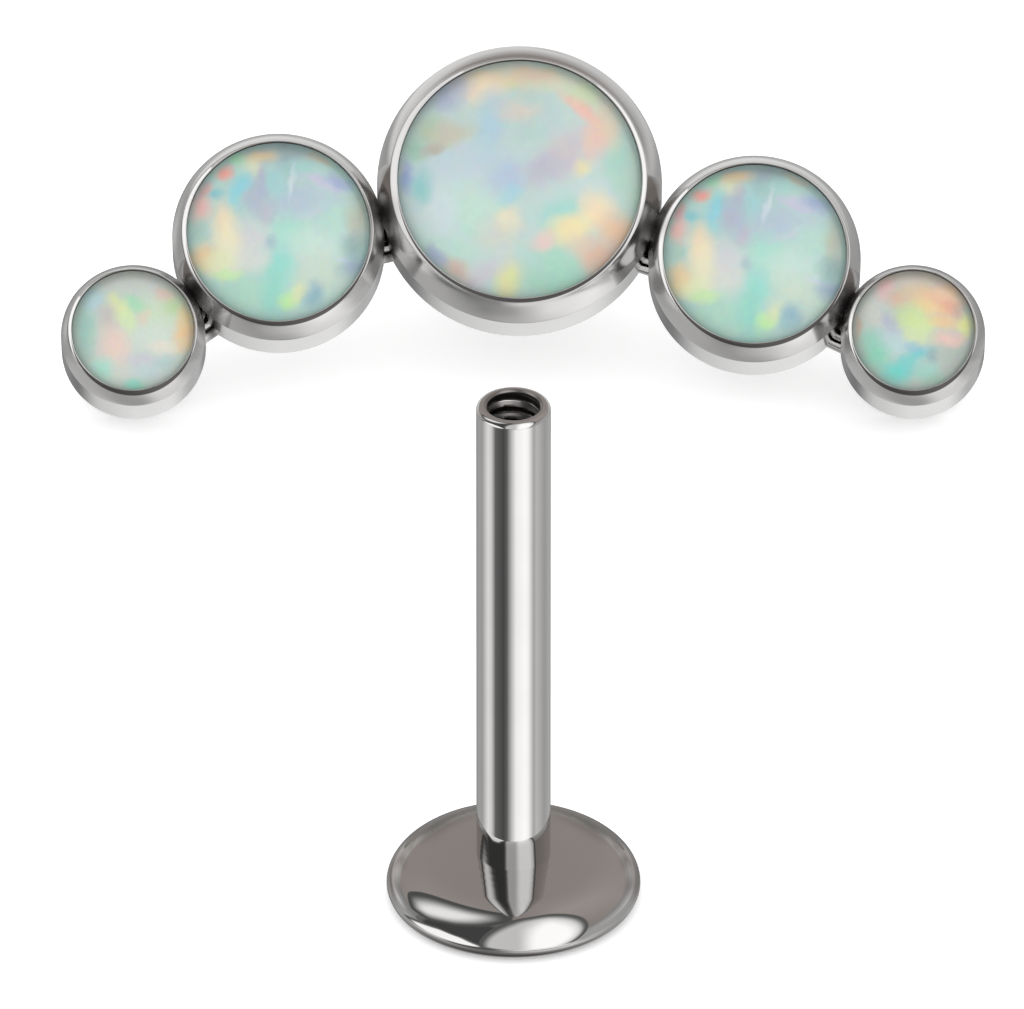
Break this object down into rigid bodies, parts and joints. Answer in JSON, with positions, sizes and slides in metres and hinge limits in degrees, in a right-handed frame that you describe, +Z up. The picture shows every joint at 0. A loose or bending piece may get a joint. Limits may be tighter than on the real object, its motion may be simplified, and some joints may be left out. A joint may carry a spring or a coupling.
{
  "type": "labret stud",
  "caption": "Flat-back labret stud stored unscrewed: a hollow threaded post standing on its domed disc, and a curved cluster top of white opals in round bezel cups lying on its back.",
  "frame": {"origin": "the middle of the disc's flat underside, on the surface that the stud rests on", "axes": "+Z up along the standing post, +Y back from the post to the lying top, +X to the right along the top's arch"},
  "size_m": [0.0152, 0.0215, 0.0094],
  "materials": {
    "polished_titanium": "mirror-polished implant titanium, a warm mid grey",
    "white_opal": "polished lab-made white opal, pale mint with soft-edged patches of pastel colour"
  },
  "bodies": {
    "root": {"flat_back_post": "polished_titanium", "bezel_setting": "polished_titanium", "opal_center": "white_opal", "opal_mid_left": "white_opal", "opal_mid_right": "white_opal", "opal_end_left": "white_opal", "opal_end_right": "white_opal"}
  },
  "joints": []
}
